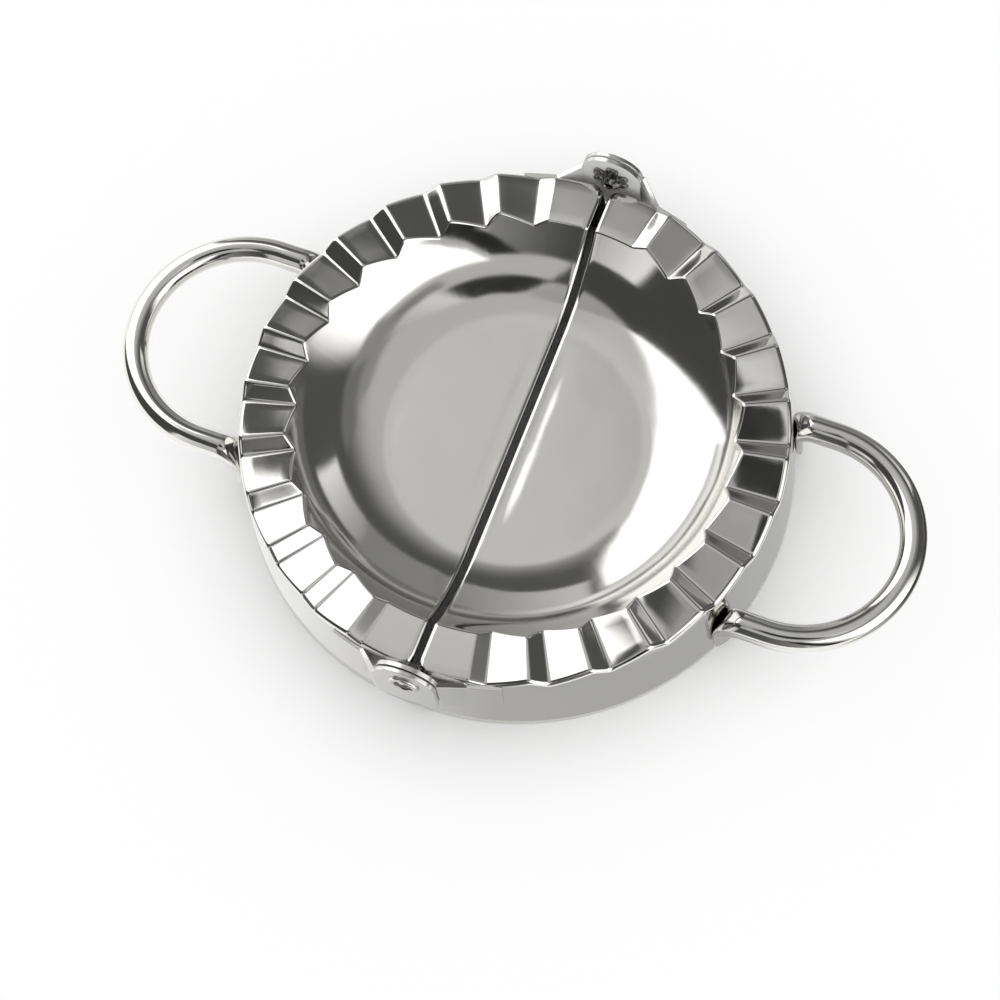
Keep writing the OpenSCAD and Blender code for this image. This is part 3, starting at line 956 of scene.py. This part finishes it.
@dataclass
class Rivet:
    """Tubular rivet: rolled head with a deep hollow outside, and an end spread into petals."""

    lug: Lug
    shank_r: float = 1.6
    head_r: float = 2.8
    head_t: float = 0.55
    # the hollow, its flat bottom, the cone round that, and the depth at which its funnel starts
    dimple_r: float = 1.15
    dimple_depth: float = 1.3
    dimple_flat_r: float = 0.69
    dimple_cone: float = 0.3
    throat: float = 0.55
    funnel_w: float = 0.45
    lip_r: float = 0.3
    # dents round the lip where the tool has struck it: place, width, depth and unevenness
    dents: tuple[float, float, float, float] = (0.65, 0.45, 0.2, 0.6)
    # how far round the hollow the painted shade reaches
    painted_shade_w: float = 0.6
    petal_h: float = 1.15
    petal_r: float = 3.8
    petal_tip: Pair = (0.2, 0.5)
    petal_root: float = 0.12
    petals: int = 6
    # how unevenly the petals stand, and how deep, narrow and sunk the splits between them are
    petal_wobble: Pair = (0.7, 0.5)
    split_depth: float = 0.62
    split_power: int = 3
    split_sink: float = 0.35
    oval: float = 0.12
    tube_r: float = 1.15
    tube_h: float = 1.8
    # steps in and up from the tube's outside to its lip and to its bottom
    tube_lip: Pair = (0.25, 0.05)
    tube_bottom: Pair = (0.35, 0.1)
    bottom_dome: float = 0.15
    play: float = 0.05
    steps: int = 96

    @property
    def head_y(self) -> float:
        """Distance of the head's under side from the middle of the press."""
        return self.lug.outer_y + self.lug.lug_t + self.play

    @property
    def petal_y(self) -> float:
        """The same for the petals."""
        return self.lug.inner_y - self.play

    def section(self, bm: BMesh) -> None:
        """Draws the rivet's section along its axis, from the head's hollow to the tube's bottom.

        Args:
            bm: The empty bmesh that gets it.
        """
        head, petal = self.head_y, self.petal_y
        top = head + self.head_t
        pit, lip = top - self.dimple_depth, self.lip_r
        funnel = self.dimple_r + self.funnel_w
        flat = self.head_r - self.head_t
        end = petal - self.tube_h
        pen = Pen(bm, (0, 0, pit))
        pen.line((self.dimple_flat_r, 0, pit), 2)
        pen.line((self.dimple_r, 0, pit + self.dimple_cone), 2)
        pen.line((self.dimple_r, 0, top - self.throat), 2)
        pen.line((funnel, 0, top - lip), 4)
        pen.arc((funnel + lip, 0, top - lip), Y_AXIS, pi / 2, 6)
        pen.line((flat, 0, top), 3)
        pen.arc((flat, 0, head), Y_AXIS, pi / 2, 8)
        # radius, height and rows of faces of each straight stretch from there on
        for r, h, rows in (
            (self.shank_r, head, 1),
            (self.shank_r, petal, 2),
            (self.petal_r, petal, 5),
            (self.petal_r - self.petal_tip[0], petal - self.petal_tip[1], 3),
            (self.shank_r, petal - self.petal_h + self.petal_root, 5),
            (self.tube_r, end, 5),
            (self.tube_r - self.tube_lip[0], end + self.tube_lip[1], 2),
            (self.tube_r - self.tube_bottom[0], petal + self.tube_bottom[1], 4),
            (0, petal + self.bottom_dome, 2),
        ):
            pen.line((r, 0, h), rows)

    def spread(self, bm: BMesh) -> None:
        """Dents the head's lip, and splits the inner end into petals by drawing in its rim.

        Args:
            bm: The rivet, with its axis upright.
        """
        petal, top = self.petal_y, self.head_y + self.head_t
        inner = self.tube_r
        place, width, depth, wobble = self.dents
        for vert in bm.verts:
            r, h = hypot(vert.co.x, vert.co.y), vert.co.z
            a = atan2(vert.co.y, vert.co.x)
            if h > top - self.throat - SAME:
                near = exp(-(((r - self.dimple_r - place) / width) ** 2))
                beat = cos(self.petals * a + wobble * sin(2 * a))
                vert.co.z -= depth * near * (0.5 + 0.5 * beat)
            if h > petal + SAME or r <= inner:
                continue
            once, twice = self.petal_wobble
            lobe = self.petals * a + once * sin(a) + twice * sin(2 * a)
            split = (0.5 + 0.5 * cos(lobe)) ** self.split_power
            draw = self.split_depth * split + self.oval * cos(a) ** 2
            share = 1 - draw * min((r - inner) / (self.petal_r - inner), 1.0)
            new_r = inner + (r - inner) * share
            vert.co.x, vert.co.y = new_r * cos(a), new_r * sin(a)
            vert.co.z = petal + (h - petal) * (1 - self.split_sink * split)

    def build(self, end: End, material: Material, struck: Material) -> Object:
        """Builds the rivet of one hinge.

        Args:
            end: Which hinge.
            material: Its finish.
            struck: Its darker finish, painted shade in the head's hollow and on the petals.

        Returns:
            The piece.
        """
        bm = bmesh.new()
        self.section(bm)
        sweep(bm, (0, 0, 0), 2 * pi, self.steps, merge=True)
        bmesh.ops.remove_doubles(bm, verts=bm.verts, dist=SAME)
        self.spread(bm)
        bmesh.ops.recalc_face_normals(bm, faces=bm.faces)
        # painted shade: the head's hollow with its lip and the petals get the darker finish
        for face in bm.faces:
            middle = face.calc_center_median()
            near = middle.to_2d().length < self.dimple_r + self.painted_shade_w
            hollow = near and middle.z > self.head_y
            face.material_index = int(hollow or middle.z < self.petal_y)
        # the axis turns from +Z to +Y and rises to the hinge's height
        rotate(bm, bm.verts, -pi / 2, "X")
        bmesh.ops.translate(bm, verts=bm.verts, vec=(0, 0, self.lug.axis_z))
        rotate(bm, bm.verts, end.turn, "Z")
        piece = (f"{end.value}_rivet", "body", material, Side.LEFT.body, "rivet_steel")
        return finish_piece(bm, *piece, back=struck)


@dataclass(frozen=True)
class Panel:
    """A lit or dark panel of the light tent, by its compass angles seen from the press.

    Azimuth runs from +X towards +Y. The side edges may lean, so that they shift with height, and
    the top edge may rise with azimuth.
    """

    azimuth: Pair
    elevation: Pair
    tones: Pair
    # width of the fading edge at the first side, the second side, the bottom and the top
    soft: tuple[float, float, float, float]
    lean: Pair = (0.0, 0.0)
    top_rise: float = 0.0

    @staticmethod
    def ease(distance: float, soft: float) -> float:
        """Share of a panel that shows at a distance inside its edge, over an edge that wide."""
        return smooth(min(max(distance / soft + 0.5, 0.0), 1.0))

    def cover(self, azimuth: float, elevation: float) -> Pair:
        """Finds how far the panel covers a direction, and how bright it is there.

        Args:
            azimuth: Compass angle of the direction, in degrees.
            elevation: Its angle over the horizon.

        Returns:
            The share from 0 to 1 and the tone.
        """
        left = self.azimuth[0] + self.lean[0] * elevation
        right = self.azimuth[1] + self.lean[1] * elevation
        middle = (left + right) / 2
        around = (azimuth - middle + 180) % 360 - 180 + middle
        share = self.ease(around - left, self.soft[0]) * self.ease(right - around, self.soft[1])
        share *= self.ease(elevation - self.elevation[0], self.soft[2])
        top = self.elevation[1] + self.top_rise * (around - left)
        share *= self.ease(top - elevation, self.soft[3])
        along = min(max((around - left) / max(right - left, TINY), 0.0), 1.0)
        return share, self.tones[0] + (self.tones[1] - self.tones[0]) * along


TENT_PANELS = (
    # the shaded side behind the press, with dull windows low down
    Panel((19, 131), (-9, 58), (74, 78), (14, 2, 1, 24)),
    Panel((30, 106), (-9, 10), (92, 106), (6, 4, 1, 2)),
    Panel((104, 131), (-9, 11), (124, 240), (4, 2, 1, 2)),
    Panel((101.5, 128), (10, 39.5), (126, 188), (1.5, 1.5, 2, 2), top_rise=-0.36),
    Panel((78, 101), (10, 38.5), (120, 124), (1, 2, 2, 3), top_rise=0.13),
    Panel((57, 79), (16, 39), (222, 140), (2, 1, 2, 2)),
    # the big soft box on the left, and the haze over it
    Panel((112, 215), (62, 77), (185, 170), (12, 12, 4, 6)),
    Panel((131, 172.5), (-9, 66), (285, 285), (2, 2, 1, 5), lean=(0, 0.56)),
    Panel((131, 173), (-9, 12), (214, 232), (2, 2, 1, 3)),
    Panel((131, 173), (10, 14), (190, 190), (2, 2, 1, 1)),
    # dark cloth in front on the left, with a window in it
    Panel((175, 257.5), (-9, 67), (66, 62), (5, 2, 1, 5), lean=(0.39, 0)),
    Panel((234, 257), (-9, 36.5), (226, 168), (2.5, 1.5, 1, 2.5)),
    # grey front with a dark upright strip
    Panel((258, 296), (-9, 46), (60, 126), (1.5, 2, 1, 5)),
    Panel((311, 323), (-9, 46), (38, 44), (3, 3, 1, 4), lean=(-0.62, -0.58)),
    # the soft box on the right, fading away behind
    Panel((333, 373), (-9, 51), (285, 285), (3, 26, 1, 4), lean=(-0.7, 0)),
    Panel((325, 378), (56, 63), (125, 110), (6, 12, 4, 4)),
    Panel((358, 411), (50, 67), (128, 130), (8, 8, 4, 4)),
    Panel((385, 420), (48, 59), (104, 104), (6, 6, 4, 4)),
    Panel((332, 372), (64, 82), (205, 165), (8, 14, 4, 4)),
    Panel((204, 250), (66, 82), (145, 152), (8, 8, 4, 4)),
    # a dark flag high over the front
    Panel((258, 326), (66.5, 83), (48, 48), (8, 8, 4, 4)),
)

# tones of the ground cloth close to the press, by azimuth
GROUND_TONES = (
    (0, 162), (60, 165), (120, 190), (180, 206), (235, 214), (262, 190), (285, 162), (330, 158)
)

# patches farther out on it, with the distance in millimetres in place of the elevation
GROUND_PATCHES = (
    Panel((130, 250), (60, 3000), (240, 240), (20, 20, 8, 1)),
    Panel((-75, -22), (80, 3000), (240, 240), (10, 10, 10, 1)),
    Panel((-40, 48), (60, 88), (236, 236), (14, 14, 6, 6)),
    Panel((-6, 55), (93, 3000), (64, 64), (16, 14, 10, 1)),
)


def compass(place: Vector) -> float:
    """Compass angle of a place seen from the press, from 0 to under 360 degrees."""
    return degrees(atan2(place.y, place.x)) % 360


@dataclass
class Studio:
    """Pale floor, plain soft light, and the camera at the photograph's angle."""

    camera_mm: Triple = (86.929, -153.472, 451.878)
    camera_deg: Triple = (20.2456, 3.72844, 21.08898)
    lens: float = 96.511
    sensor: float = 36.0
    clip: Pair = (0.01, 20.0)
    floor_half: float = 1.5
    tent_r: float = 1.0
    tent_cells: tuple[int, int] = (240, 120)
    horizon: float = 0.001
    # tone of the tent between its panels, and how a tone of 0 to 255 becomes light
    ceiling: float = 169.0
    tone_power: float = 2.2
    steel_share: float = 0.71
    cloth_inner_r: float = 0.0497
    cloth_rise: float = 0.0002
    cloth_cells: int = 180
    cloth_rings: tuple[float, ...] = (
        0.052, 0.056, 0.06, 0.065, 0.075, 0.085, 0.091, 0.095, 0.1, 0.15, 0.3, 0.999
    )
    # share of the floor's light that is its own glow, and the radii between which that grows
    paper_glow: float = 0.7
    paper_glow_r: Pair = (0.050, 0.068)

    def camera(self) -> None:
        """Places the camera."""
        data = bpy.data.cameras.new("camera")
        data.lens = self.lens
        data.sensor_width = self.sensor
        data.clip_start, data.clip_end = self.clip
        camera = bpy.data.objects.new("camera", data)
        camera.location = Vector(self.camera_mm) * MM
        camera.rotation_euler = Euler([radians(a) for a in self.camera_deg], "XYZ")
        bpy.context.scene.collection.objects.link(camera)
        bpy.context.scene.camera = camera

    def floor(self) -> None:
        """Lays the pale floor under the press."""
        bm = bmesh.new()
        bmesh.ops.create_grid(bm, x_segments=1, y_segments=1, size=self.floor_half)
        floor = link_mesh(bm, "floor")
        mat = bpy.data.materials.new("matt_white_board")
        tree = empty_tree(mat)
        shader = add_node(tree, "BsdfDiffuse", Color=WHITE)
        # paper that glows away from the press, which leaves three tenths of the shadow there
        paths = add_node(tree, "LightPath")
        place = add_node(tree, "TexCoord").outputs["Object"]
        distance = add_node(tree, "VectorMath", place, settings={"operation": "LENGTH"})
        share = add_node(
            tree,
            "MapRange",
            distance.outputs["Value"],
            From_Min=self.paper_glow_r[0],
            From_Max=self.paper_glow_r[1],
            To_Max=self.paper_glow,
        ).outputs["Result"]
        seen = add_node(
            tree, "Math", share, paths.outputs["Is Camera Ray"], settings={"operation": "MULTIPLY"}
        ).outputs["Value"]
        glow = add_node(tree, "Emission", Color=WHITE, Strength=1.0).outputs["Emission"]
        both = add_node(tree, "MixShader", seen, shader.outputs["BSDF"], glow)
        add_node(tree, "OutputMaterial", both.outputs["Shader"])
        floor.data.materials.append(mat)

    def light(self, panels: tuple[Panel, ...], angle: float, height: float, tone: float) -> float:
        """Finds the light that a place on the tent or the ground cloth sends to the press.

        Args:
            panels: The panels there, each over the one before.
            angle: The place's compass angle, in degrees.
            height: Its elevation, or its distance on the ground.
            tone: Tone of the bare cloth, from 0 to 255.

        Returns:
            Emission strength at which polished steel shows the place's tone.
        """
        for panel in panels:
            share, over = panel.cover(angle, height)
            tone += (over - tone) * share
        return (tone / 255) ** self.tone_power / self.steel_share

    def tent_light(self, place: Vector) -> float:
        """Emission strength of the tent at a place on it."""
        elevation = degrees(atan2(place.z, place.to_2d().length))
        return self.light(TENT_PANELS, compass(place), elevation, self.ceiling)

    def ground_light(self, place: Vector) -> float:
        """Emission strength of the ground cloth at a place on it."""
        tone = float(numpy.interp(compass(place), *zip(*GROUND_TONES), period=360))
        return self.light(GROUND_PATCHES, compass(place), place.to_2d().length / MM, tone)

    def tent(self) -> None:
        """Hangs the light tent, which only the polished metal sees."""
        bm = bmesh.new()
        around, up = self.tent_cells
        bmesh.ops.create_uvsphere(bm, u_segments=around, v_segments=up, radius=self.tent_r)
        cut(bm, (0, 0, self.horizon), Z_AXIS, clear=True)
        self.hang(bm, "light_tent", self.tent_light)

    def ground_cloth(self) -> None:
        """Lays the grey cloth that the skirt and the handles mirror round the press."""
        bm = bmesh.new()
        bmesh.ops.create_circle(bm, radius=self.cloth_inner_r, segments=self.cloth_cells)
        loop = bm.edges[:]
        for radius in self.cloth_rings:
            source, loop = extrude_row(bm, loop)
            for vert in source:
                vert.co = vert.co.normalized() * radius
        bmesh.ops.translate(bm, verts=bm.verts, vec=(0, 0, self.cloth_rise))
        self.hang(bm, "ground_cloth", self.ground_light)

    def hang(self, bm: BMesh, name: str, glow: Callable[[Vector], float]) -> None:
        """Turns a cloth into a staged light that only polished metal sees.

        Args:
            bm: The cloth's shape, in metres, which is used up.
            name: Its name.
            glow: Gives the emission strength at a place on it.
        """
        cloth = link_mesh(bm, name)
        mesh = cloth.data
        light = mesh.attributes.new("glow", "FLOAT", "POINT")
        light.data.foreach_set("value", [glow(v.co) for v in mesh.vertices])
        for ray in ("camera", "diffuse", "shadow", "transmission", "volume_scatter"):
            setattr(cloth, f"visible_{ray}", False)
        mat = bpy.data.materials.new(f"lit_{name}")
        tree = empty_tree(mat)
        glowing = add_node(tree, "Attribute", settings={"attribute_name": "glow"}).outputs["Fac"]
        shader = add_node(tree, "Emission", Strength=glowing, Color=WHITE)
        add_node(tree, "OutputMaterial", shader.outputs["Emission"])
        mesh.materials.append(mat)

    def world(self) -> None:
        """Lights the room evenly, with plain white where the camera sees past the floor."""
        world = bpy.data.worlds.new("room")
        bpy.context.scene.world = world
        tree = empty_tree(world)
        sky = add_node(tree, "Background", Color=WHITE, Strength=1.0)
        add_node(tree, "OutputWorld", sky.outputs["Background"])

    def build(self) -> None:
        """Builds the camera, the floor, the tent and the lights."""
        self.camera()
        self.floor()
        self.tent()
        self.ground_cloth()
        self.world()
        bpy.context.scene.view_settings.view_transform = "Standard"


def main() -> None:
    """Builds the press and its studio."""
    logging.basicConfig(level=logging.INFO, format="%(name)s: %(message)s")
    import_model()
    sheet = PolishedSteel("polished_stainless_sheet").build()
    wire = PolishedSteel("polished_stainless_wire").build()
    # the wheel doesn't reach the under side, which keeps the rolling mill's dull finish; its dark
    # grey tone is painted shade that keeps the parting gap and the moulds' inside dark
    back = PolishedSteel(
        "dull_sheet_back_painted_shade", tone="#565655", roughness=0.45, haze=0.1
    ).build()
    # small stampings get a quick polish, which blurs what they mirror
    plate = PolishedSteel("polished_stainless_plate", roughness=0.18, haze=0.08).build()
    # inside they are left as they leave the tumbling barrel, an even satin grey
    plate_back = PolishedSteel(
        "tumbled_stainless_plate", tone="#f2f2f1", metal=0.1, roughness=0.4, haze=0.1
    ).build()
    rivet_steel = PolishedSteel("rolled_steel_rivet", roughness=0.16, haze=0.08).build()
    # the tool's blows leave small bright-edged facets, and the dark grey here is painted shade in
    # the head's hollow and on the petals
    shaded_rivet_steel = PolishedSteel(
        "peened_rivet_painted_shade", tone="#757472", roughness=0.05, wave_mm=1.2, wave_depth=0.4
    ).build()
    mould = Mould()
    handle = Handle(mould)
    lug = Lug(mould)
    rivet = Rivet(lug)
    for side in Side:
        mould.build(side, sheet, back)
        handle.build(side, wire)
    for end in End:
        for side in Side:
            lug.build(end, side, plate, plate_back)
        rivet.build(end, rivet_steel, shaded_rivet_steel)
    Studio().build()


if __name__ == "__main__":
    main()
